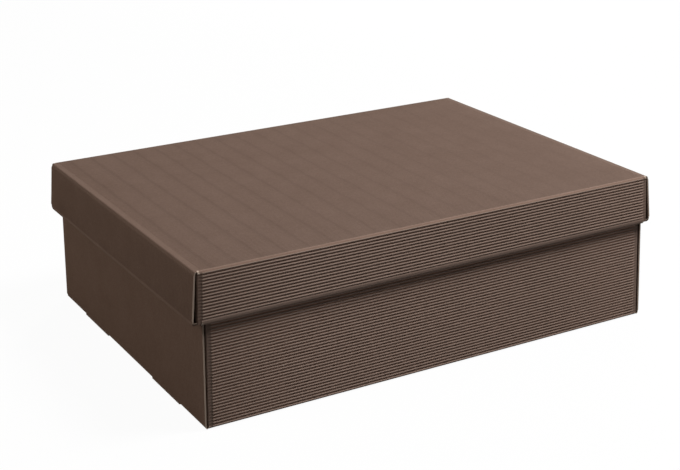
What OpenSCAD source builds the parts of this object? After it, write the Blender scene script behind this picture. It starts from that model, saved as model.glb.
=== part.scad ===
// Closed two-piece box folded from ribbed (open-flute) board: a tray base and a lid that
// telescopes over it. Each piece is one folded sheet with its ribs on the outside.
// X runs along the long side, Y across it, Z up, with the origin under the middle of the base.

/* [Box] */
// Length of the lid between the folds of its corners
box_length = 403; // [300:1:480]
// Width of the lid over its ribs
box_width = 300; // [220:1:360]
// Height of the closed box
box_height = 123.4; // [90:0.1:160]
// Depth of the lid's walls
lid_depth = 41; // [30:1:70]

/* [Board] */
// Distance from one rib to the next
flute_pitch = 2.4; // [2.2:0.1:3.2]
// Height of a rib over the liner
rib_height = 0.7; // [0.5:0.05:0.8]
// Thickness of the liner, which is also that of a crushed fold
liner = 0.6; // [0.5:0.05:0.8]
// Share of the pitch that the top of a rib takes
crest_share = 0.45; // [0.3:0.05:0.6]

/* [Folds] */
// Outer radius of the folds along the ribs
fold_radius = 1.5; // [1.2:0.1:2]
// Outer radius of the folds across the ribs, at the ends
end_fold_radius = 2; // [1.6:0.1:2.6]
// Width of the strip beside an end fold where the ribs are crushed
crushed_strip = 4.1; // [4:0.1:6]
// Height of the smooth rolled edge of the long walls
hem_height = 4; // [3.6:0.1:6]
// Depth of the layer that the rolled edge turns in
hem_return = 20; // [10:1:26]
// Lean of the lid's ends, measured at their rim
lid_lean = 2.5; // [0.5:0.1:3]
// Lean of the base's ends, measured at their rim
base_lean = 0.4; // [0.2:0.1:3]
// Radius of the cut corners at the rim of an end
rim_corner_radius = 2.5; // [1:0.1:3]

/* [Locks] */
// Length of the tabs that lock the turned-in ends of the base
tab_length = 53; // [30:1:60]
// Distance of a tab's middle from the middle of the end
tab_offset = 73; // [40:1:76]
// Share of the end that each corner flap covers
flap_share = 0.35; // [0.2:0.01:0.45]

/* [Fit] */
// Clearance between the lid and the base along the long walls
side_clearance = 0.5; // [0.3:0.1:1]
// Clearance between the lid and the base at the ends
end_clearance = 1; // [0.5:0.1:2]

/* [Hidden] */
board_colour = "#6f5f54";
// Small lengths: the overlap of joined layers, and the play of an edge that meets another layer
overlap = 0.05;
play = 0.3;
arc_steps = 4;
board = liner + rib_height;
// Depth of the groove between two ribs over the liner
groove_floor = 0.08;
// How deep a mat of ribs is set into the liner
mat_root = 0.4;
// First rib from the outer face of the neighbouring panel
first_rib = 0.87 * flute_pitch;
// An end's outer layer stands outside the folds of the corner flaps by this much
shoulder = board + 0.4;
// Outer layer's cut edge, behind the ribs of the long walls
edge_inset = 1;
// The turned-in layers of an end, inside the corner folds: a flap and the inner layer
inner_layers = 2 * board + overlap;
// The hem stops short of the turned-in end
hem_inset = inner_layers + 0.5;
// How far an end reaches in under the floor's ribs, where it joins the floor
floor_tongue = 6;
// Least clearance, in shares of the pitch, from the last rib to the hem
hem_clearance = 0.3;
// Width of the smooth band under an end's rim
rim_band = 3;
// How far a lock's foot stands up over the fold, which is where an end's ribs start
foot_rise = 0.4;
rim_radius = 1.2;

base_depth = box_height - board;
base_width = box_width - 2 * (2 * board + side_clearance);
base_length = box_length - 2 * (inner_layers + end_clearance + shoulder + base_lean);

// Points of an arc about (x, y), from angle a0 to a1
function arc(x, y, r, a0, a1) =
    [for (i = [0 : arc_steps]) let (a = a0 + (a1 - a0) * i / arc_steps) [x + r * cos(a), y + r * sin(a)]];

// Number of ribs across a width, odd, so that one lies on the middle line
function ribs_across(width) = 2 * floor((width / 2 - first_rib) / flute_pitch) + 1;

// Number of ribs up a long wall, below its hem
function ribs_up(depth) =
    floor((depth - hem_height - first_rib - hem_clearance * flute_pitch) / flute_pitch) + 1;

// Outline of one rib about the origin, in shares of the pitch and heights over the liner
flat_rib = [[-crest_share / 2, rib_height], [crest_share / 2, rib_height], [0.5, groove_floor]];
sharp_rib = [[0, rib_height], [0.5, groove_floor]];

// Section of count ribs side by side, the first one about the origin, with the liner's face at y = 0
function rib_section(count, rib) = concat(
    [[-flute_pitch / 2, -mat_root], [-flute_pitch / 2, groove_floor]],
    [for (i = [0 : count - 1], p = rib) [(i + p[0]) * flute_pitch, p[1]]],
    [[(count - 0.5) * flute_pitch, -mat_root]]);

// Ribs that run along Z over a length, side by side along X, standing out along Y
module ribs(count, length, rib = flat_rib) {
    linear_extrude(length) polygon(rib_section(count, rib));
}

// Extrudes a section drawn in Y and Z along X, about the middle
module along_x(length) {
    rotate([90, 0, 90]) translate([0, 0, -length / 2]) linear_extrude(length) children();
}

// Extrudes a section drawn in X and Z along Y, about the middle
module along_y(length) {
    rotate([90, 0, 0]) translate([0, 0, -length / 2]) linear_extrude(length) children();
}

// Repeats its child on the other side of X = 0
module both_ends() {
    children();
    mirror([1, 0, 0]) children();
}

// Repeats its child on the other side of Y = 0
module both_sides() {
    children();
    mirror([0, 1, 0]) children();
}

// Floor and long walls: a channel of liner, open upwards, with rounded folds
module channel(length, width, depth) {
    out = width / 2 - rib_height;
    in = out - liner;
    up = depth - hem_height / 2;
    along_x(length) polygon(concat(
        [[-out, up]],
        arc(-out + fold_radius, rib_height + fold_radius, fold_radius, 180, 270),
        arc(out - fold_radius, rib_height + fold_radius, fold_radius, 270, 360),
        [[out, up], [in, up]],
        arc(out - fold_radius, rib_height + fold_radius, fold_radius - liner, 360, 270),
        arc(-out + fold_radius, rib_height + fold_radius, fold_radius - liner, 270, 180),
        [[-in, up]]));
}

// Rolled edge of the long wall at -Y: a smooth round band with a layer turned in behind it
module hem(length, width, depth) {
    front = -width / 2;
    along_x(length) polygon(concat(
        [[front + rib_height, depth - hem_height - board / 2], [front, depth - hem_height + board / 2]],
        arc(front + board, depth - board, board, 180, 0),
        [[front + 2 * board, depth - hem_return], [front + board - overlap, depth - hem_return]]));
}

// Ribs under the floor
module floor_ribs(length, width) {
    count = ribs_across(width);
    translate([-length / 2, (count - 1) / 2 * flute_pitch, rib_height])
        rotate([-90, 0, 0]) rotate([0, 90, 0]) ribs(count, length);
}

// Ribs outside the long wall at -Y
module wall_ribs(length, width, depth) {
    translate([-length / 2, -width / 2 + rib_height, first_rib])
        rotate([180, 0, 0]) rotate([0, 90, 0]) ribs(ribs_up(depth), length);
}

// Corner fold and flap at +X and -Y: the long wall turns in behind the end's outer layer
module flap(length, width, depth) {
    out_x = length / 2 - rib_height;
    out_y = width / 2 - rib_height;
    back_x = length / 2 - board - 2 * overlap;
    ribs_y = -width / 2 + crushed_strip;
    edge_y = (flap_share - 0.5) * width;
    clear_y = -width / 2 + 2 * board + play;
    low = board + play;
    high = depth - 2 * liner;
    translate([0, 0, low]) linear_extrude(high - low) polygon(concat(
        [[out_x - fold_radius - overlap, -out_y]],
        arc(out_x - fold_radius, -out_y + fold_radius, fold_radius, 270, 360),
        [[out_x, ribs_y], [length / 2, ribs_y], [length / 2, edge_y],
         [back_x, edge_y], [back_x, clear_y], [out_x - liner, clear_y]],
        arc(out_x - fold_radius, -out_y + fold_radius, fold_radius - liner, 360, 270),
        [[out_x - fold_radius - overlap, -out_y + liner]]));
}

// Section of an end at +X: the floor's edge, the fold, the outer layer and the flat rim
module end_section(length, depth, lean) {
    fold_x = length / 2 + shoulder - rib_height - end_fold_radius;
    fold_z = rib_height + end_fold_radius;
    rim_x = length / 2 + shoulder - rib_height + lean;
    inner_x = length / 2 - inner_layers;
    polygon(concat(
        [[length / 2 - floor_tongue, rib_height + overlap]],
        arc(fold_x, fold_z, end_fold_radius, 270, 360),
        arc(rim_x - rim_radius, depth - rim_radius, rim_radius, 0, 90),
        arc(inner_x + rim_radius, depth - rim_radius, rim_radius, 90, 180),
        [[inner_x + board, depth - rim_radius], [inner_x + board, depth - liner],
         [rim_x - 2 * liner, depth - liner], [rim_x - liner, depth - 2 * liner]],
        arc(fold_x, fold_z, end_fold_radius - liner, 360, 270),
        [[length / 2 - floor_tongue, board - overlap]]));
}

// Cutter that rounds the rim's corner at +X and -Y
module rim_corner_cutter(length, width, depth) {
    corner_y = -width / 2 + edge_inset;
    translate([length / 2, 0, 0]) along_x(4 * (inner_layers + shoulder)) difference() {
        translate([corner_y - 1, depth - rim_corner_radius]) square(rim_corner_radius + 1);
        translate([corner_y + rim_corner_radius, depth - rim_corner_radius]) circle(rim_corner_radius);
    }
}

// Ribs of the end at +X, which lean with its outer layer
module end_ribs(length, width, depth, lean) {
    count = ribs_across(width);
    low = rib_height + end_fold_radius;
    angle = atan(lean / (depth - rim_radius - low));
    translate([length / 2 + shoulder - rib_height, 0, low])
        rotate([0, angle, 0]) rotate([0, 0, -90])
            translate([-(count - 1) / 2 * flute_pitch, 0, foot_rise])
                ribs(count, depth - rim_band - low - foot_rise, sharp_rib);
}

// Double end wall at +X: outer layer, rim and the inner layer that is turned down to the floor
module end_wall(length, width, depth, lean) {
    difference() {
        along_y(width - 2 * edge_inset) end_section(length, depth, lean);
        both_sides() rim_corner_cutter(length, width, depth);
    }
    inner_width = width - 2 * (2 * board + play);
    translate([length / 2 - inner_layers, -inner_width / 2, board + play])
        cube([board, inner_width, depth - board - play - liner / 2]);
    end_ribs(length, width, depth, lean);
}

// Room that a lock takes from the fold and the floor at +X
module lock_slot(length, y) {
    from_x = length / 2 - inner_layers - play;
    translate([from_x, y - tab_length / 2 - play, -1])
        cube([inner_layers + play + shoulder + 1, tab_length + 2 * play, 1 + rib_height + end_fold_radius]);
}

// Lock at +X: the tab of the inner layer in its slot, and the outer layer's straight foot beside it
module lock(length, y) {
    foot = 0.1;
    translate([length / 2 - inner_layers, y - tab_length / 2, foot])
        cube([board, tab_length, rib_height + end_fold_radius + play]);
    side = play + overlap;
    translate([length / 2 + shoulder - board, y - tab_length / 2 - side, foot])
        cube([board, tab_length + 2 * side, rib_height + end_fold_radius + foot_rise - 2 * foot]);
}

// One folded sheet, open upwards, its ribs down and outwards, standing on the plane Z = 0
module tray(length, width, depth, lean, locked) {
    wall_length = length - 2 * (rib_height + fold_radius);
    rib_length = length - 2 * crushed_strip;
    difference() {
        union() {
            channel(wall_length, width, depth);
            floor_ribs(rib_length, width);
            both_sides() {
                hem(length - 2 * hem_inset, width, depth);
                wall_ribs(rib_length, width, depth);
            }
            both_ends() {
                end_wall(length, width, depth, lean);
                both_sides() flap(length, width, depth);
            }
        }
        if (locked) both_ends() both_sides() lock_slot(length, tab_offset);
    }
    if (locked) both_ends() both_sides() lock(length, tab_offset);
}

module base() {
    color(board_colour) tray(base_length, base_width, base_depth, base_lean, true);
}

module lid() {
    color(board_colour) translate([0, 0, box_height]) rotate([180, 0, 0])
        tray(box_length, box_width, lid_depth, lid_lean, false);
}

base();
lid();
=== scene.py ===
# %% [markdown]
# # A closed cardboard box with a lift-off lid
#
# The box is two trays folded from ribbed board, one sheet each. The lid is the shallower tray,
# turned over. Every piece is modelled here the way the board is worked: a flat strip is cut,
# its ribs are pressed flat where it will fold, and then it is folded.
#
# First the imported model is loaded. It is the frame that everything is fitted to.

# %% Load the frame
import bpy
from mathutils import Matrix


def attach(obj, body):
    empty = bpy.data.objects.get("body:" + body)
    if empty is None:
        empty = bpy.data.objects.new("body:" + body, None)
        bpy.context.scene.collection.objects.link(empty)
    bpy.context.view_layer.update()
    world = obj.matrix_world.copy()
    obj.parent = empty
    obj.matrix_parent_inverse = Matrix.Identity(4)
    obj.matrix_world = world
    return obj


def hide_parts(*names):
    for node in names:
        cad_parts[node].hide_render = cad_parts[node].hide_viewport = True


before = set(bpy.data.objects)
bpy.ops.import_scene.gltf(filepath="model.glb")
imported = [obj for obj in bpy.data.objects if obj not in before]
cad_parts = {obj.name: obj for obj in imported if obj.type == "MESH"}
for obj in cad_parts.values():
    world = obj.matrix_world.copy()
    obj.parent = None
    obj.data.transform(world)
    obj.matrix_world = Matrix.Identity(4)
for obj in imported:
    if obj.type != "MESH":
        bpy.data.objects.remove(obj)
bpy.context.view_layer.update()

# %% Modules
import math
from collections import namedtuple

import bmesh
import bpy
from mathutils import Matrix, Vector

# %% [markdown]
# ## The camera
#
# The photograph looks at the near corner from the front left and a little above. Azimuth is the
# heading of the view, and elevation is how far it looks down. The lens is a mild telephoto. It is
# shifted a little, because the upright edges stay nearly parallel in the photograph.

# %% Camera
azimuth, elevation, roll = math.radians(30.722), math.radians(17.752), math.radians(-0.531)
camera_place = (-0.5741, -1.0372, 0.4990)
forward = Vector((
    math.sin(azimuth) * math.cos(elevation),
    math.cos(azimuth) * math.cos(elevation),
    -math.sin(elevation),
))
level = Vector((math.cos(azimuth), -math.sin(azimuth), 0))
upright = level.cross(forward)
right = math.cos(roll) * level + math.sin(roll) * upright
up = math.cos(roll) * upright - math.sin(roll) * level
facing = Matrix((right, up, -forward)).transposed().to_4x4()

camera = bpy.data.objects.new("camera", bpy.data.cameras.new("camera"))
bpy.context.scene.collection.objects.link(camera)
camera.matrix_world = Matrix.Translation(camera_place) @ facing
camera.data.lens, camera.data.sensor_width = 78.77, 36
camera.data.shift_x, camera.data.shift_y = -0.0703, -0.0915
bpy.context.scene.camera = camera
print("camera looks down by", round(math.degrees(elevation), 1), "degrees")

# %% [markdown]
# ## Sizes
#
# All lengths are in millimetres while a tray is folded, and the finished tray is brought to metres.
# The board is a liner with ribs on one side. Beside a fold only a small share of the ribs' height is
# left, because the board is pressed there before it is folded.
#
# The base is narrower than the lid by the lid's doubled walls and some play, and lower than the box
# by the board of the lid that rests on it. Length is measured at the bottom fold of an end, and from
# there the end leans out up to its rim.

# %% Board
rib_pitch = 2.4
rib_height = 0.7
liner = 0.6
board = rib_height + liner
pressed = 0.12
print("the board is", round(board, 2), "mm thick over its ribs")

# %% Trays
box_width, box_height = 300, 123.4
play = 0.5
base_width = box_width - 2 * (2 * board + play)
lid_size = dict(length=401.4, width=box_width, depth=41, lean=3.3)
base_size = dict(length=391.5, width=base_width, depth=box_height - board, lean=0.4)
print("the base is", round(base_width, 1), "mm wide inside a lid of", lid_size["width"])

# %% [markdown]
# ## Helpers for working by hand
#
# Blender's operators act on what is selected. So each step selects points by their place, and then
# moves, turns or stretches them. Rotation gets its centre each time, and turns the other way when no
# window is open, which `turn` puts right.

# %% One piece at a time
def only(piece):
    """Selects this piece alone."""
    bpy.ops.object.select_all(action="DESELECT")
    piece.select_set(True)
    bpy.context.view_layer.objects.active = piece


def start_editing(piece):
    only(piece)
    bpy.ops.object.mode_set(mode="EDIT")
    bpy.ops.mesh.select_mode(type="VERT")


def stop_editing():
    bpy.ops.object.mode_set(mode="OBJECT")

# %% Selecting by place
def near(value, place):
    return abs(value - place) < 1e-3


def pick(piece, kind, wanted):
    """Selects the points, edges or faces (VERT, EDGE or FACE) that are wanted, and nothing else."""
    bpy.ops.mesh.select_all(action="DESELECT")
    bpy.ops.mesh.select_mode(type=kind)
    mesh = bmesh.from_edit_mesh(piece.data)
    for part in {"VERT": mesh.verts, "EDGE": mesh.edges, "FACE": mesh.faces}[kind]:
        if wanted(part):
            part.select_set(True)
    mesh.select_flush_mode()
    bmesh.update_edit_mesh(piece.data)


def pick_all():
    bpy.ops.mesh.select_all(action="SELECT")

# %% Moving what is selected
def shift(x=0, y=0, z=0):
    bpy.ops.transform.translate(value=(x, y, z))


def turn(degrees, axis, centre=(0, 0, 0)):
    bpy.ops.transform.rotate(value=-math.radians(degrees), orient_axis=axis, center_override=centre)


def stretch(x=1, y=1, z=1, centre=(0, 0, 0)):
    bpy.ops.transform.resize(value=(x, y, z), center_override=centre)

# %% Starting and cutting
def cuboid(low, high):
    """A cuboid between two corners, with its place and size in its mesh."""
    bpy.ops.object.select_all(action="DESELECT")
    middle = [(a + b) / 2 for a, b in zip(low, high)]
    size = [b - a for a, b in zip(low, high)]
    bpy.ops.mesh.primitive_cube_add(size=1, location=middle, scale=size)
    bpy.ops.object.transform_apply(location=True, rotation=False, scale=True)
    return bpy.context.object


def cut_across(place, along=(1, 0, 0)):
    """Gives the whole mesh a row of new points at this place along an axis."""
    pick_all()
    bpy.ops.mesh.bisect(plane_co=[place * part for part in along], plane_no=along, threshold=1e-4)


def cut_near_ends(reach, inwards=2):
    """Cuts a long piece a little before its ends, so that a mark on the ends doesn't spread over it."""
    for side in (-1, 1):
        cut_across(side * (reach - inwards))

# %% Finishing with modifiers
def modified(piece, kind, **settings):
    """Adds a modifier, sets it and applies it."""
    only(piece)
    modifier = piece.modifiers.new(kind.lower(), kind)
    for name, value in settings.items():
        setattr(modifier, name, value)
    bpy.ops.object.modifier_apply(modifier=modifier.name)
    return piece


def both_sides(piece):
    """Adds the same piece at the other long side of the tray."""
    return modified(piece, "MIRROR", use_axis=(False, True, False), use_mirror_merge=False)


def joined(name, pieces):
    bpy.ops.object.select_all(action="DESELECT")
    for piece in pieces:
        piece.select_set(True)
    bpy.context.view_layer.objects.active = pieces[0]
    bpy.ops.object.join()
    pieces[0].name = pieces[0].data.name = name
    return pieces[0]

# %% [markdown]
# ## One rib of board
#
# A strip of board one rib wide is a cuboid of liner. Its lower side is cut into narrow strips, which
# are moved to the wave of the rib. Then it is cut across at each line where its shape will change, and
# the ribs are pressed flat at the lines beside a fold. A bump in the material would be quicker, but it
# leaves straight outlines. Working on one rib keeps the mesh small, and the rest are copies.

# %% Wave of a rib
# across the rib, and height over the liner
half_wave = [(-rib_pitch / 2, 0.02), (-0.82, 0.18), (-0.4, 0.55), (0, rib_height)]
rib_wave = half_wave + [(-across, height) for across, height in reversed(half_wave[:-1])]
print("a rib's wave has", len(rib_wave), "points")

# %% Marks for the material
def mark(piece, name, value_at):
    """Gives each point a number that the material reads, found from the point's place."""
    attributes = piece.data.attributes
    marks = attributes.get(name) or attributes.new(name, "FLOAT", "POINT")
    for point, value in zip(piece.data.vertices, marks.data):
        value.value = value_at(point.co)


def share_at(lines, place):
    """The share of the rib's height that is left at a line."""
    return next(share for at, share in lines if near(at, place))

# %% A strip of board
def strip_of_board(name, lines, wave, y=0, groove_bounce=1):
    """Board that lies flat from the first line to the last, ribs down.

    A line is (place, share of the rib's height), and the last argument is how strongly its grooves get
    painted bounce light.
    """
    left, right = y + wave[0][0], y + wave[-1][0]
    strip = cuboid((lines[0][0], left, rib_height), (lines[-1][0], right, board))
    strip.name = name

    def across_below(edge):
        one, other = edge.verts
        return max(one.co.z, other.co.z) < rib_height + 0.01 and near(one.co.x, other.co.x)

    start_editing(strip)
    if len(wave) > 2:
        pick(strip, "EDGE", across_below)
        bpy.ops.mesh.subdivide(number_cuts=len(wave) - 2)
    places = [left + (right - left) * i / (len(wave) - 1) for i in range(len(wave))]
    for place, (across, height) in zip(places, wave):
        pick(strip, "VERT", lambda point: near(point.co.z, rib_height) and near(point.co.y, place))
        shift(y=y + across - place, z=-height)
    for place, _ in lines[1:-1]:
        cut_across(place)
    for place, share in lines:
        if share < 1:
            pick(strip, "VERT", lambda point: near(point.co.x, place) and point.co.z < rib_height)
            stretch(z=share, centre=(place, 0, rib_height))
    stop_editing()

    def crest(place):
        return (rib_height - place.z) / rib_height if place.z < rib_height else 0

    def groove(place):
        return groove_bounce * (share_at(lines, place.x) - crest(place)) if place.z < rib_height else 0

    mark(strip, "groove", groove)
    mark(strip, "crest", crest)
    mark(strip, "cut", lambda place: 1 if wave == half_wave and place.y > right - 0.01 else 0)
    return strip

# %% [markdown]
# ## Folding
#
# A fold is a few narrow steps. From the free end inwards, all that lies beyond a line is pulled back to
# it and turned a little about a point over it. The outer face so becomes a true arc. The Simple Deform
# modifier could bend a strip too, but about one origin only, and a strip here has up to three folds. The
# places that the points had on the flat sheet are kept, to find them again when the sheet is folded.

# %% Fold
Fold = namedtuple("Fold", "start gap steps degrees centre_height")


def flat_places(piece):
    return [point.co.copy() for point in piece.data.vertices]


def fold(piece, flat, bend, axis=0):
    """Folds upwards what lies past the start of the bend, along X (axis 0) or Y (axis 1)."""
    for step in range(bend.steps, 0, -1):
        line = bend.start + (step - 1) * bend.gap
        pick(piece, "VERT", lambda point: flat[point.index][axis] > line + bend.gap / 2)
        if axis == 0:
            shift(x=-bend.gap)
            turn(-bend.degrees / bend.steps, "Y", (line, 0, bend.centre_height))
        else:
            shift(y=-bend.gap)
            turn(bend.degrees / bend.steps, "X", (0, line, bend.centre_height))

# %% Test of the fold
trial = strip_of_board("trial", [(0, 1), (10, 1), (11, 1), (12, 1), (20, 1)], rib_wave)
trial_flat = flat_places(trial)
trial_fold = Fold(start=10, gap=1, steps=2, degrees=90, centre_height=rib_height + 2)
start_editing(trial)
fold(trial, trial_flat, trial_fold)
stop_editing()
tip = max(point.co.z for point in trial.data.vertices)
print("the trial strip's tip stands at", round(tip, 3), "mm, and should at", rib_height + 2 + 8)
bpy.data.objects.remove(trial)

# %% [markdown]
# ## Copies of a rib
#
# A panel is a row of ribs. The array gives the row, each with its own points. Where two ribs meet, the two
# side faces between them would stay inside the board, so they are deleted and the points merged.

# %% Row of ribs
merge_distance = 0.002


def row_of_ribs(strip, count, first_y, step=rib_pitch):
    """The strip, whose rib lies at first_y, and its copies, as one sheet of that many ribs."""
    modified(
        strip, "ARRAY", count=count, use_relative_offset=False,
        use_constant_offset=True, constant_offset_displace=(0, step, 0),
    )
    last_y = first_y + step * (count - 1)
    low = min(first_y, last_y) - rib_pitch / 2 + 0.3
    high = max(first_y, last_y) + rib_pitch / 2 - 0.3

    def between_ribs(face):
        return abs(face.normal.y) > 0.9 and low < face.calc_center_median().y < high

    start_editing(strip)
    pick(strip, "FACE", between_ribs)
    bpy.ops.mesh.delete(type="FACE")
    pick_all()
    bpy.ops.mesh.remove_doubles(threshold=merge_distance)
    stop_editing()
    return strip


def both_ends(strip):
    """The other half, over the middle line; a face on that line is deleted first."""
    start_editing(strip)
    pick(strip, "FACE", lambda face: all(near(point.co.x, 0) for point in face.verts))
    bpy.ops.mesh.delete(type="FACE")
    stop_editing()
    return modified(
        strip, "MIRROR", use_axis=(True, False, False),
        use_mirror_merge=True, merge_threshold=merge_distance,
    )

# %% [markdown]
# ## Floor and ends
#
# The floor's ribs run on up the outside of the ends, over the rim and down the inside. The lines of a rib
# are therefore measured along the whole strip: floor, fold, outer layer, rim and inner layer. The ribs are
# pressed flat beside the folds and along the rim.

# %% Places along the strip
def end_lines(length, depth, lean):
    """Lines of half a strip, from the middle of the floor, and its folds, the outermost first."""
    fold_steps, fold_gap = 5, 0.5
    rim_steps, rim_gap = 3, 0.4
    outer_height = depth - 3.3  # of the outer layer between its folds
    inner_height = depth - 2.9  # of the inner layer, from the rim down to the floor
    rim_width = lean + 0.55  # between the two folds of the rim
    lean_angle = math.degrees(math.atan(lean / outer_height))
    fold_at = length / 2 - 0.4
    outer = fold_at + fold_steps * fold_gap
    outer_end = outer + outer_height / math.cos(math.radians(lean_angle))
    rim_end = outer_end + rim_steps * rim_gap + rim_width
    inner = rim_end + rim_steps * rim_gap
    inner_end = inner + inner_height

    # floor and bottom fold
    lines = [(place, 1) for place in (0, 45, 90, 135, 170)]
    lines += [(length / 2 - 5.2, 1), (length / 2 - 4.5, 0.55), (length / 2 - 3.8, pressed)]
    lines += [(fold_at + i * fold_gap, pressed) for i in range(fold_steps + 1)]
    # outer layer
    lines += [(outer + 0.5, pressed), (outer + 1.2, 0.6), (outer + 2, 1), (outer + 10, 1)]
    lines += [((outer * (3 - i) + outer_end * i) / 3, 1) for i in (1, 2)]
    lines += [(outer_end - 3, 1), (outer_end - 2, 0.55), (outer_end - 1.2, pressed)]
    # rim
    lines += [(outer_end + i * rim_gap, pressed) for i in range(rim_steps + 1)]
    lines += [(rim_end + i * rim_gap, pressed) for i in range(rim_steps + 1)]
    # inner layer
    lines += [(inner + 0.8, pressed), (inner + 1.6, 0.6), (inner + 2.4, 1)]
    lines += [(inner_end - 8, 1), (inner_end, 1)]

    folds = [
        Fold(rim_end, rim_gap, rim_steps, 90, rib_height + 1.2),
        Fold(outer_end, rim_gap, rim_steps, 90 + lean_angle, rib_height + 1.2),
        Fold(fold_at, fold_gap, fold_steps, 90 - lean_angle, rib_height + 1.4),
    ]
    return lines, folds


lid_lines, lid_folds = end_lines(lid_size["length"], lid_size["depth"], lid_size["lean"])
print("the lid's strips are", round(2 * lid_lines[-1][0], 1), "mm long with", 2 * len(lid_folds), "folds")

# %% Strip that is folded at its end
def folded_strip(name, lines, folds, wave, y, groove_bounce=1):
    strip = strip_of_board(name, lines, wave, y, groove_bounce)
    flat = flat_places(strip)
    start_editing(strip)
    for bend in folds:
        fold(strip, flat, bend)
    stop_editing()
    return strip

# %% [markdown]
# ## Locks of the base
#
# In four places the inner layer's edge carries a tab that goes down through a slot in the bottom fold.
# There the outer layer isn't folded: it stands straight on the slot's edge, as a foot. So a rib at a
# lock is two strips: the floor, which stops at the slot, and the end, from its foot up and over to the tab.
#
# The grooves of the floor and the ends are marked weakly, because they hardly show in the photograph.

# %% Ribs at a lock
# how strongly the grooves of the floor and the ends get painted bounce light
panel_groove_bounce = 0.3
foot = 1.4
tab = 1.5


def lock_strips(lines, folds, y, length):
    """The two strips of a rib at a lock."""
    *rim_folds, bottom_fold = folds
    outer = bottom_fold.start + bottom_fold.steps * bottom_fold.gap
    slot = length / 2 - 2.3
    floor_lines = [line for line in lines if line[0] < slot - 0.3] + [(slot, pressed)]
    floor = strip_of_board("lock_floor", floor_lines, rib_wave, y, panel_groove_bounce)

    # the end starts at the foot, and its edge is longer by the tab
    foot_lines = [(outer - foot, 0.8), (outer - foot / 2, 1)]
    upper_lines = foot_lines + [line for line in lines[:-1] if line[0] > outer + 2.5]
    upper_lines.append((lines[-1][0] + tab, 1))
    end = strip_of_board("lock_end", upper_lines, rib_wave, y, panel_groove_bounce)
    mark(end, "cut", lambda place: 1 if near(place.x, outer - foot) else 0)
    flat = flat_places(end)
    start_editing(end)
    for bend in rim_folds:
        fold(end, flat, bend)
    pick_all()
    shift(x=bottom_fold.start - outer)
    turn(-bottom_fold.degrees, "Y", (bottom_fold.start, 0, bottom_fold.centre_height))
    stop_editing()
    return floor, end

# %% Floor with its ends
# from the outer face of a long wall to the middle of the floor's first rib, and the same up the wall
fold_margin = 0.87 * rib_pitch
# a lock takes the ribs from the first of these to the last, counted from the middle of the floor
lock_ribs = (20, 41)


def last_rib(width):
    """The floor's ribs are counted from the middle to this one, on both sides."""
    return int((width / 2 - fold_margin) / rib_pitch)


def runs_of_ribs(last, locked):
    """The floor's ribs as runs of (first, last, whether they are at a lock)."""
    if not locked:
        return [(-last, last, False)]
    start, end = lock_ribs
    return [
        (-last, -end - 1, False),
        (-end, -start, True),
        (1 - start, start - 1, False),
        (start, end, True),
        (end + 1, last, False),
    ]


def floor_and_ends(length, width, depth, lean, locked):
    lines, folds = end_lines(length, depth, lean)
    last = last_rib(width)
    pieces = []
    for first, final, lock in runs_of_ribs(last, locked):
        y = first * rib_pitch
        if lock:
            strips = lock_strips(lines, folds, y, length)
        else:
            strips = [folded_strip("rib", lines, folds, rib_wave, y, panel_groove_bounce)]
        pieces += [row_of_ribs(both_ends(strip), final - first + 1, y) for strip in strips]

    # half a rib closes the ends beside the long folds
    rim_fold, bottom_fold = folds[0], folds[-1]
    edge_lines = [(bottom_fold.start - 0.2, pressed)]
    edge_lines += [line for line in lines if bottom_fold.start <= line[0] <= rim_fold.start + 1.3]
    edge = both_ends(folded_strip("edge_rib", edge_lines, folds, half_wave, (last + 1) * rib_pitch))
    pieces.append(both_sides(edge))
    panel = joined("floor_and_ends", pieces)
    mark(panel, "broad", lambda place: 1)
    return panel

# %% [markdown]
# ## Rounded corners of the rim
#
# The blank's corners are cut round at the rim of an end. The last columns of points are squeezed down a
# little, each to the height that the round corner has there.

# %% Round the rim's corners
def round_rim_corners(piece, depth, radius=2.5, reach=6):
    edge = max(point.co.y for point in piece.data.vertices)
    distances = {round(abs(point.co.y), 3) for point in piece.data.vertices}
    start_editing(piece)
    for column in sorted(distance for distance in distances if distance > edge - radius):
        past = column - (edge - radius)
        drop = radius - math.sqrt(max(radius ** 2 - past ** 2, 0))

        def in_column(point):
            return abs(abs(point.co.y) - column) < 2e-3 and point.co.z > depth - reach

        pick(piece, "VERT", in_column)
        stretch(z=(reach - drop) / reach, centre=(0, 0, depth - reach))
    stop_editing()

# %% [markdown]
# ## Long walls
#
# A long wall has its own ribs, parallel to the long fold. At both ends the sheet turns the corner and
# goes on as a flap, which is caught inside the double end. It is made lying down, rib by rib, and then
# stood up. Where the ends lean out, a lattice makes the wall longer towards its rim.

# %% Taper
def tapered(piece, rim, foot=0):
    """Moves the piece's ends out along X, by rim at the top and by foot at the bottom."""
    low = [min(point.co[i] for point in piece.data.vertices) for i in range(3)]
    high = [max(point.co[i] for point in piece.data.vertices) for i in range(3)]
    bpy.ops.object.select_all(action="DESELECT")
    bpy.ops.object.add(type="LATTICE", location=[(a + b) / 2 for a, b in zip(low, high)])
    cage = bpy.context.object
    cage.scale = [b - a for a, b in zip(low, high)]
    for direction in "uvw":
        setattr(cage.data, "interpolation_type_" + direction, "KEY_LINEAR")
    for corner in cage.data.points:
        outwards = rim if corner.co.z > 0 else foot
        corner.co_deform.x *= 1 + 2 * outwards / (high[0] - low[0])
    modified(piece, "LATTICE", object=cage)
    bpy.data.objects.remove(cage)
    return piece

# %% Wall
flap_share = 0.35
rolled_height = 4


def wall_rows(depth):
    """How many ribs a long wall has below its rolled edge, and how high they reach."""
    count = int((depth - rolled_height - fold_margin - 0.3 * rib_pitch) / rib_pitch) + 1
    return count, fold_margin + (count - 0.5) * rib_pitch


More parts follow.
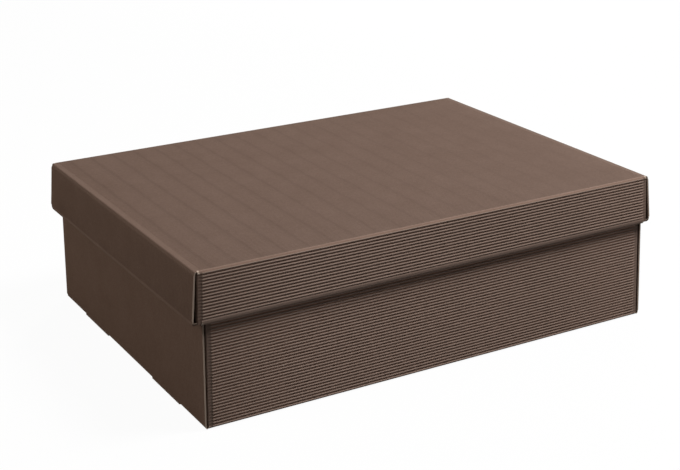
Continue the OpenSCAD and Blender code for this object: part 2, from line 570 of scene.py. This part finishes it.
def wall_lines(length, width):
    """Lines of half a wall, from its middle to the edge of the flap, and the fold at the corner."""
    corner_fold = Fold(
        start=length / 2 - 1.5, gap=0.5, steps=5, degrees=90, centre_height=rib_height + 0.8,
    )
    flap = corner_fold.start + corner_fold.steps * corner_fold.gap
    lines = [(0, 1), (60, 1), (120, 1)]
    lines += [(length / 2 - 4.9, 1), (length / 2 - 4.4, 0.6), (length / 2 - 4.0, pressed)]
    lines += [(corner_fold.start + i * corner_fold.gap, pressed) for i in range(corner_fold.steps + 1)]
    lines += [(flap + flap_share * width - 2.2, pressed)]
    return lines, [corner_fold]


def long_wall(length, width, depth, taper):
    lines, folds = wall_lines(length, width)
    count, top = wall_rows(depth)
    rib = both_ends(folded_strip("wall_rib", lines, folds, rib_wave, 0))
    rows = row_of_ribs(rib, count, 0, -rib_pitch)

    # at the corner the sheet goes on smooth behind the rolled edge
    smooth_wave = [(1.2 - depth, 0.08), (-top, 0.08)]
    smooth_lines = [(length / 2 - 6, 0.2)] + [line for line in lines if line[0] > length / 2 - 3.9]
    corner = both_ends(folded_strip("wall_corner", smooth_lines, folds, smooth_wave, fold_margin))
    wall = joined("long_wall", [rows, corner])
    start_editing(wall)
    pick_all()
    turn(-90, "X")
    shift(y=-width / 2, z=fold_margin)
    stop_editing()
    if taper:
        tapered(wall, taper)
    return both_sides(wall)

# %% [markdown]
# ## Long folds
#
# Between the floor's last rib and the wall's first, the board is folded along its ribs. The fold shows as a
# smooth round band. It is a narrow strip, folded about its length. Its torn ends show at the corners.

# %% Fold band
def fold_band(length, width):
    edge = (last_rib(width) + 0.5) * rib_pitch
    bend = Fold(start=width / 2 - 2.2, gap=0.5, steps=6, degrees=90, centre_height=2.2)
    reach = length / 2 - 1.2
    band = cuboid((-reach, edge, 0.3), (reach, bend.start + bend.steps * bend.gap, board))
    start_editing(band)
    for i in range(bend.steps):
        cut_across(bend.start + i * bend.gap, along=(0, 1, 0))
    cut_near_ends(reach)
    stop_editing()
    mark(band, "cut", lambda place: 2 if near(abs(place.x), reach) else 0)
    flat = flat_places(band)
    start_editing(band)
    fold(band, flat, bend, axis=1)
    stop_editing()
    return both_sides(band)

# %% [markdown]
# ## Rolled edge
#
# The long wall's edge is turned in, so that no cut edge shows there. Its section is drawn by extruding an
# edge step by step: up the smooth band, over the round top, and down the turned-in layer with its ribs.
# The ribs lie along the wall here, so one section serves for its whole length.

# %% Section of the rolled edge
turned_in_depth = 20
double_wall = 2 * board


def rolled_edge_section(width, depth, top):
    """Corners of the section, as (y, z)."""
    front = -width / 2
    ribs = front + double_wall - rib_height
    rise = (depth - top - 1.1) / 3
    # out of the last groove and up the smooth band, which leans in a little
    section = [(front + 0.66, top - 0.25), (front + 0.3, top + 0.1), (front + 0.12, top + 0.45)]
    section += [(front + 0.12 + 0.09 * i, top + 0.45 + rise * i) for i in (1, 2, 3)]
    # over the round top
    section += [(front + 0.75, depth - 0.25), (front + 1.3, depth - 0.03)]
    section += [(front + 2.0, depth - 0.1), (front + 2.48, depth - 0.6)]
    # down the ribs of the turned-in layer, the first of which is pressed, and back under its cut edge
    level = depth - 4.2
    while level - rib_pitch > depth - turned_in_depth:
        share = 1 if level < depth - 5 else 0.7
        middle = level - rib_pitch / 2
        section += [(ribs + height * share, middle - across) for across, height in rib_wave[:-1]]
        level -= rib_pitch
    section += [(ribs + 0.05, level), (front + board, level)]
    return section


lid_section = rolled_edge_section(lid_size["width"], lid_size["depth"], wall_rows(lid_size["depth"])[1])
print("the section of the lid's rolled edge has", len(lid_section), "corners")

# %% Rolled edge
def rolled_edge(width, depth, top, reach):
    """The edge of both long walls, from -reach to reach."""
    section = rolled_edge_section(width, depth, top)
    bpy.ops.object.select_all(action="DESELECT")
    bpy.ops.mesh.primitive_plane_add(size=1, scale=(1, 1, 1))
    edge = bpy.context.object

    # the plane becomes the first side of the section
    start_editing(edge)
    pick(edge, "VERT", lambda point: point.co.y < 0)
    shift(y=section[0][0] + 0.5, z=section[0][1])
    pick(edge, "VERT", lambda point: point.co.y > 0.4 and near(point.co.z, 0))
    shift(y=section[1][0] - 0.5, z=section[1][1])
    pick_all()
    stretch(x=2 * reach)

    # its free side is drawn round the rest
    y, z = section[1]
    pick(edge, "EDGE", lambda side: all(near(point.co.y, y) and near(point.co.z, z) for point in side.verts))
    for here, there in zip(section[1:], section[2:] + section[:1]):
        step = (0, there[0] - here[0], there[1] - here[1])
        bpy.ops.mesh.extrude_region_move(TRANSFORM_OT_translate={"value": step})
    pick_all()
    bpy.ops.mesh.remove_doubles(threshold=merge_distance)

    # both ends are closed
    for end in (-reach, reach):
        pick(edge, "EDGE", lambda side: all(near(point.co.x, end) for point in side.verts))
        bpy.ops.mesh.edge_face_add()
    pick_all()
    bpy.ops.mesh.normals_make_consistent(inside=False)
    cut_near_ends(reach)
    stop_editing()
    mark_rolled_edge(edge, width, depth, top, reach)
    return both_sides(edge)

# %% Marks of the rolled edge
def mark_rolled_edge(edge, width, depth, top, reach):
    inside = double_wall - width / 2
    cut_level = min(point.co.z for point in edge.data.vertices if point.co.y > inside - 0.8 * board)

    def depth_in_groove(place):
        return (inside - place.y) / rib_height

    def turned_in(place):
        return place.y > inside - rib_height - 0.01 and place.z < depth - 4.5

    def crest(place):
        if turned_in(place):
            return 1 - depth_in_groove(place)
        # the smooth band of the rolled edge gets half a crest's wear and painted highlight
        return 0.5 if top + 0.3 < place.z < depth - 0.5 and place.y < inside - board else 0

    def cut(place):
        if near(abs(place.x), reach) and place.z > depth - 2:
            return 2
        return 1 if near(place.z, cut_level) and place.y > inside - board - 0.1 else 0

    mark(edge, "groove", lambda place: depth_in_groove(place) if turned_in(place) else 0)
    mark(edge, "crest", crest)
    mark(edge, "cut", cut)

# %% [markdown]
# ## The two trays
#
# Floor, ends, walls, folds and rolled edges are joined to one sheet. A rolled edge stops a little before
# the corner. The lid's ends lean out, and its long walls widen with them towards the rim. The base's ends
# stand a little wider at the floor than at the rim, which the lid holds in.

# %% Tray
corner_gap = 3.15


def tray(name, size, locked, taper):
    """One folded sheet, whose long walls are longer at the rim by taper at each end."""
    length, width, depth = size["length"], size["width"], size["depth"]
    floor = floor_and_ends(**size, locked=locked)
    round_rim_corners(floor, depth)
    wall = long_wall(length, width, depth, taper)
    band = fold_band(length, width)
    edge = rolled_edge(width, depth, wall_rows(depth)[1], length / 2 - corner_gap + taper / 2)
    sheet = joined(name, [floor, wall, band, edge])
    triangles = sum(len(face.vertices) - 2 for face in sheet.data.polygons)
    print(name, "has", len(sheet.data.polygons), "faces,", triangles, "triangles")
    return sheet


base_sheet = tapered(tray("base_sheet", base_size, locked=True, taper=0), rim=-1, foot=2)
lid_sheet = tray("lid_sheet", lid_size, locked=False, taper=1.6)

# %% [markdown]
# The lid is turned over and set on the base, which doesn't lie quite in the middle of the loose lid.
# Then both are brought to metres.

# %% Turn the lid over
start_editing(lid_sheet)
pick_all()
turn(180, "X")
shift(z=box_height)
stop_editing()

# %% Base off the middle
off_middle = 0.8
start_editing(base_sheet)
pick_all()
shift(x=off_middle)
stop_editing()

# %% To metres
millimetre = 0.001
smooth_angle = math.radians(52)
for sheet in (base_sheet, lid_sheet):
    start_editing(sheet)
    pick_all()
    stretch(millimetre, millimetre, millimetre)
    stop_editing()
    only(sheet)
    bpy.ops.object.shade_smooth_by_angle(angle=smooth_angle)
    low = [round(min(point.co[i] for point in sheet.data.vertices) * 1000, 1) for i in range(3)]
    high = [round(max(point.co[i] for point in sheet.data.vertices) * 1000, 1) for i in range(3)]
    print(sheet.name, low, high)

# %% [markdown]
# ## Brown paper
#
# The board is made of matte brown paper, dyed through. Its crests are paler, partly by wear and partly by a
# painted highlight;
# its grooves get painted bounce light, and its floor and ends painted shade. Its cut edges show the raw
# board, and where it tore at the corners it is paler still. The points' marks say where.
#
# Shader maths is written as Python expressions: a small class wraps a socket, and an operator adds its
# Math node.

# %% Sockets with operators
class Wire:
    def __init__(self, tree, socket=None):
        self.tree, self.socket = tree, socket

    def node(self, kind, settings=None, inputs=None, out=0):
        """Adds a node, sets its settings, then its sockets by name or number, and returns one output."""
        new = self.tree.nodes.new(kind)
        for name, value in (settings or {}).items():
            setattr(new, name, value)
        for name, value in (inputs or {}).items():
            if isinstance(value, Wire):
                value.feed(new.inputs[name])
            else:
                new.inputs[name].default_value = value
        return Wire(self.tree, new.outputs[out])

    def feed(self, socket):
        self.tree.links.new(self.socket, socket)

    def maths(self, operation, *values):
        return self.node("ShaderNodeMath", {"operation": operation}, dict(enumerate(values)))

    def __add__(self, other):
        return self.maths("ADD", self, other)

    def __radd__(self, other):
        return self.maths("ADD", other, self)

    def __sub__(self, other):
        return self.maths("SUBTRACT", self, other)

    def __rsub__(self, other):
        return self.maths("SUBTRACT", other, self)

    def __mul__(self, other):
        return self.maths("MULTIPLY", self, other)

    def __rmul__(self, other):
        return self.maths("MULTIPLY", other, self)

    def __pow__(self, other):
        return self.maths("POWER", self, other)

    def between(self, low, high):
        """0 at low, 1 at high, and straight between them."""
        limits = {"Value": self, "From Min": low, "From Max": high}
        return self.node("ShaderNodeMapRange", {"clamp": True}, limits)

    def blend(self, first, second):
        """Colour that goes from first to second as this value goes from 0 to 1."""
        colours = {"Factor": self, 6: first, 7: second}
        return self.node("ShaderNodeMix", {"data_type": "RGBA"}, colours, out=2)

# %% Empty node tree
def empty_tree(owner, output):
    """Clears the nodes of a material or world, and gives the wire to start from and the last socket."""
    owner.use_nodes = True
    tree = owner.node_tree
    tree.nodes.clear()
    return Wire(tree), tree.nodes.new(output).inputs["Surface"]

# %% Colours
def linear(part):
    return part / 12.92 if part <= 0.04045 else ((part + 0.055) / 1.055) ** 2.4


def colour(red, green, blue):
    """An sRGB colour of 0 to 255, as the linear values that Blender takes."""
    return tuple(linear(part / 255) for part in (red, green, blue)) + (1,)


paper, pale_paper = colour(110, 89, 77), colour(129, 107, 95)
# the pale crest colour is partly wear and partly a painted highlight
# the shaded colour is painted shade for the floor and the ends
# the warm, paler groove colour is painted bounce light
shaded_paper, groove_bounce_paper, worn_and_highlit_paper = colour(50, 34, 26), colour(160, 118, 95), colour(171, 148, 135)
raw_board, torn_board = colour(168, 149, 133), colour(200, 182, 166)
print("paper in linear values:", [round(part, 3) for part in paper[:3]])

# %% [markdown]
# Faint lines cross the ribs. Each is a narrow darker line, and between
# two lines the paper gets slowly paler. They are plainer at the left of the box.

# %% Cross lines
line_gap, line_width, first_line = 19.2, 2.4, 4.6


def cross_lines(along, mottle):
    wavy = along - first_line + (mottle - 0.5) * 4
    behind, ahead = -line_gap / 4, line_gap * 3 / 4
    from_line = wavy.maths("WRAP", wavy, ahead, behind)
    line = 1 - from_line.maths("ABSOLUTE", from_line).between(0, line_width)
    return (line * 0.8 - from_line.between(behind, ahead) * 0.25) * (0.65 - along * 0.002)

# %% Paper
def paper_material(name, painted_paleness):
    """Brown paper with painted light and shade; the second argument paints the whole sheet paler, as painted
    light on its walls, grooves, floor and ends.
    """
    material = bpy.data.materials.new(name)
    root, surface = empty_tree(material, "ShaderNodeOutputMaterial")
    groove, crest, cut, broad = [
        root.node("ShaderNodeAttribute", {"attribute_name": mark_name}, out="Fac")
        for mark_name in ("groove", "crest", "cut", "broad")
    ]

    # blotches, specks and short fibres
    place = root.node("ShaderNodeTexCoord", out="Object")
    along = root.node("ShaderNodeSeparateXYZ", inputs={"Vector": place}) * 1000
    mottle = root.node(
        "ShaderNodeTexNoise", inputs={"Vector": place, "Scale": 38, "Detail": 4, "Roughness": 0.6},
    )
    grain = root.node(
        "ShaderNodeTexNoise", inputs={"Vector": place, "Scale": 620, "Detail": 3, "Roughness": 0.65},
    )
    fibre_place = root.node("ShaderNodeMapping", inputs={"Vector": place, "Scale": (350, 1500, 1500)})
    fibre = root.node("ShaderNodeTexNoise", inputs={"Vector": fibre_place, "Scale": 1, "Detail": 2})
    tone = mottle.between(0.3, 0.7) * 0.3 + grain.between(0.3, 0.7) * 0.45 + fibre.between(0.3, 0.7) * 0.25
    plain = tone.blend(paper, pale_paper)

    # the long walls' crests, paler by wear and by a painted highlight that is weaker towards the right, a
    # sheet painted paler all over, and painted bounce light in their grooves
    # painted highlight on the crests, together with their wear
    crest_wear_and_highlight = crest ** 1.5 * (0.6 - along * 0.0009 + grain * 0.6 - painted_paleness * 1.6) + painted_paleness
    worn_and_highlit = ((1 - broad) * crest_wear_and_highlight).blend(plain, worn_and_highlit_paper)
    # painted bounce light: the grooves are painted a warmer, paler brown
    ribbed = (groove.between(0.5, 1) * (0.4 + painted_paleness * 2)).blend(worn_and_highlit, groove_bounce_paper)

    # painted shade makes the floor and the ends darker, less so on a sheet that is painted paler, and
    # carries the faint cross lines
    panel_painted_shade = broad * (0.42 - painted_paleness * 0.6 + cross_lines(along, mottle) * 0.12)
    shaded = panel_painted_shade.blend(ribbed, shaded_paper)
    with_cuts = cut.between(0.4, 0.9).blend(shaded, raw_board)
    with_tears = cut.between(1, 1.8).blend(with_cuts, torn_board)

    bump_inputs = {"Strength": 0.25, "Distance": 0.0002, "Height": grain * 0.6 + fibre * 0.4}
    root.node("ShaderNodeBsdfPrincipled", inputs={
        "Base Color": with_tears,
        "Roughness": 0.76 + grain * 0.14,
        "Specular IOR Level": 0.25,
        "Normal": root.node("ShaderNodeBump", inputs=bump_inputs),
    }).feed(surface)
    return material


# the last number paints the whole sheet paler, as painted light: the base more than the lid
for sheet, slot, body, node, painted_paleness in (
    (base_sheet, "base_board", "base", "base", 0.15),
    (lid_sheet, "lid_board", "lid", "lid", 0),
):
    sheet.data.materials.clear()
    sheet.data.materials.append(paper_material(slot, painted_paleness))
    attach(sheet, body)
    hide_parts(node)

# %% [markdown]
# ## Studio
#
# The box stands on white paper. The floor glows white to the camera and keeps only a little of the box's
# shadow, and to the box it is a dull grey, so that it doesn't light the lid from below.

# %% Floor
bpy.ops.object.select_all(action="DESELECT")
bpy.ops.mesh.primitive_plane_add(size=12, location=(0, 0, -0.0003))
floor = bpy.context.object
floor.name = "floor"
white_paper = bpy.data.materials.new("white_paper")
root, surface = empty_tree(white_paper, "ShaderNodeOutputMaterial")
dull = root.node("ShaderNodeBsdfDiffuse", inputs={"Color": (0.17, 0.17, 0.17, 1)})
pale = root.node("ShaderNodeBsdfDiffuse", inputs={"Color": (0.8, 0.8, 0.8, 1)})
glow = root.node("ShaderNodeEmission", inputs={"Color": (1, 1, 1, 1), "Strength": 1})
seen = root.node("ShaderNodeMixShader", inputs={0: 0.96, 1: pale, 2: glow})
from_camera = root.node("ShaderNodeLightPath", out="Is Camera Ray")
root.node("ShaderNodeMixShader", inputs={0: from_camera, 1: dull, 2: seen}).feed(surface)
floor.data.materials.append(white_paper)

# %% [markdown]
# The world is white to the camera and in reflections, but almost dark as a light, because the lamps
# light the box.

# %% World
world = bpy.data.worlds.new("studio")
bpy.context.scene.world = world
root, surface = empty_tree(world, "ShaderNodeOutputWorld")
from_camera, from_gloss, from_glass = [
    root.node("ShaderNodeLightPath", out=ray)
    for ray in ("Is Camera Ray", "Is Glossy Ray", "Is Transmission Ray")
]
direct = root.maths("MAXIMUM", root.maths("MAXIMUM", from_camera, from_gloss), from_glass)
dim = root.node("ShaderNodeBackground", inputs={"Color": (1, 1, 1, 1), "Strength": 0.01})
bright = root.node("ShaderNodeBackground", inputs={"Color": (1, 1, 1, 1), "Strength": 1})
root.node("ShaderNodeMixShader", inputs={0: direct, 1: dim, 2: bright}).feed(surface)

# %% [markdown]
# Three soft lamps light the box: the key from the front right and above, a warm fill from the left for
# the near end, and one from behind for the far side, which the photograph doesn't show.

# %% Lamps
def soft_lamp(name, place, size, power, aim=(0, 0, 0.05)):
    lamp = bpy.data.objects.new(name, bpy.data.lights.new(name, "AREA"))
    bpy.context.scene.collection.objects.link(lamp)
    lamp.data.shape, lamp.data.size, lamp.data.energy = "DISK", size, power
    towards = (Vector(aim) - Vector(place)).to_track_quat("-Z", "Y").to_matrix().to_4x4()
    lamp.matrix_world = Matrix.Translation(place) @ towards
    return lamp


key = soft_lamp("key", place=(0.62, -0.5, 1.46), size=0.55, power=30)
fill = soft_lamp("fill", place=(-1.6, 0.25, 0.7), size=1.0, power=11.5)
fill.data.color = (1, 0.91, 0.8)
back = soft_lamp("back", place=(1.3, 1.6, 0.9), size=1.0, power=26)
back.visible_glossy = False
bpy.context.scene.view_settings.view_transform = "Standard"
print("lamps, in watts:", [lamp.data.energy for lamp in (key, fill, back)])
